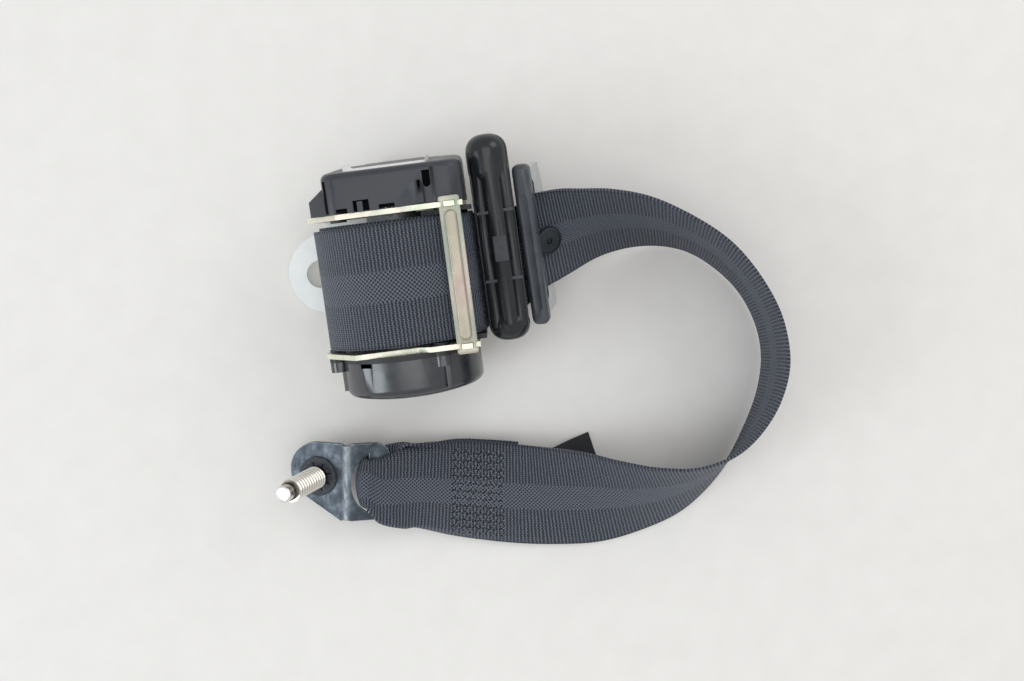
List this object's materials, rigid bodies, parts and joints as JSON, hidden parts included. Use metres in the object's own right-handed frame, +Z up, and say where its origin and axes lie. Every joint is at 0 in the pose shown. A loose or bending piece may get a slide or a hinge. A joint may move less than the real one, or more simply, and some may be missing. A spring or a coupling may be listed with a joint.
{
  "type": "seat belt with retractor",
  "caption": "Front seat belt at rest: inertia reel retractor, pillar loop and latch tongue on a dark strap that bends round to an anchor plate with its bolt.",
  "frame": {"origin": "middle of the whole belt's box, on the surface it lies on", "axes": "+Z up, +X from the retractor towards the bend of the strap, +Y towards the retractor's mechanism cover"},
  "size_m": [0.2094, 0.174, 0.0742],
  "materials": {
    "zinc_steel": "bright zinc",
    "yellow_zinc": "yellow iridescent zinc",
    "black_plastic": "satin black",
    "gloss_black": "glossy black",
    "spool_alloy": "cast",
    "white_plastic": "natural",
    "label": "plain white film",
    "spring_steel": "blued",
    "chromed": "polished",
    "webbing": "woven polyester, dark blue-grey",
    "anchor_steel": "dark phosphate, scuffed edges",
    "bolt_steel": "zinc thread, dark neck",
    "retainer_fibre": "pressed fibre",
    "tab_fabric": "plain black"
  },
  "bodies": {
    "retractor": {"frame_base": "zinc_steel", "mechanism_cheek": "zinc_steel", "spring_cheek": "zinc_steel", "tie_bar": "yellow_zinc", "web_guide": "black_plastic", "pawl_pin": "zinc_steel", "mechanism_cover": "black_plastic", "blank_label": "label", "bearing_carrier": "black_plastic", "sensor_cup": "black_plastic", "lever_axle": "zinc_steel", "push_pins": "black_plastic", "spring_backplate": "black_plastic", "spring_cover": "gloss_black", "spiral_spring": "spring_steel", "webbing": "webbing", "webbing_tail": "webbing", "webbing_loop": "webbing", "button_front": "black_plastic", "button_back": "black_plastic", "blank_tab": "tab_fabric"},
    "reel": {"spool": "spool_alloy", "web_pin": "zinc_steel", "torsion_bar": "zinc_steel", "webbing_roll": "webbing", "ratchet_wheel": "zinc_steel", "lock_gear": "white_plastic", "spring_core": "white_plastic"},
    "pawl": {"lock_pawl": "zinc_steel"},
    "ball": {"sensor_ball": "zinc_steel"},
    "lever": {"sensor_lever": "white_plastic"},
    "pillar_loop": {"pillar_loop_plate": "zinc_steel", "pillar_loop_cover": "gloss_black"},
    "tongue": {"tongue_plate": "chromed", "tongue_grip": "gloss_black"},
    "anchor": {"anchor_plate": "anchor_steel"},
    "bolt": {"anchor_bolt": "bolt_steel", "bolt_retainer": "retainer_fibre"}
  },
  "joints": [
    {"name": "reel_turn", "type": "hinge", "parent": "retractor", "child": "reel", "pos_m": [-0.05148, 0.02862, 0.04017], "axis": [-0.1244, 0.9847, 0.1219], "continuous": true},
    {"name": "pawl_swing", "type": "hinge", "parent": "retractor", "child": "pawl", "pos_m": [-0.07188, 0.05851, 0.01944], "axis": [-0.1244, 0.9847, 0.1219], "range_deg": [0, 5.5]},
    {"name": "ball_lift", "type": "slide", "parent": "retractor", "child": "ball", "axis": [0.0153, -0.1209, 0.9925], "range_m": [0, 0.0012]},
    {"name": "lever_lift", "type": "hinge", "parent": "retractor", "child": "lever", "pos_m": [-0.06561, 0.06706, 0.01464], "axis": [0.1244, -0.9847, -0.1219], "range_deg": [0, 8.6]},
    {"name": "pillar_loop_swing", "type": "hinge", "parent": "retractor", "child": "pillar_loop", "pos_m": [-0.01252, 0.04492, 0.04458], "axis": [-0.1327, 0.9813, 0.1392], "range_deg": [-3, 3]},
    {"name": "tongue_swing", "type": "hinge", "parent": "retractor", "child": "tongue", "pos_m": [0.00193, 0.04269, 0.04186], "axis": [-0.1428, 0.9553, 0.2588], "range_deg": [-3, 3]},
    {"name": "anchor_lift", "type": "hinge", "parent": "retractor", "child": "anchor", "pos_m": [-0.0654, -0.05751, 0.01154], "axis": [0.0345, 0.9884, 0.1478], "range_deg": [0, 2.5]},
    {"name": "bolt_turn", "type": "hinge", "parent": "anchor", "child": "bolt", "pos_m": [-0.09018, -0.055, 0.01403], "axis": [-0.3054, -0.1304, 0.9432], "continuous": true}
  ],
  "couplings": [
    {"joint": "lever_lift", "follows": "ball_lift", "rad_per_m": 108.7}
  ]
}
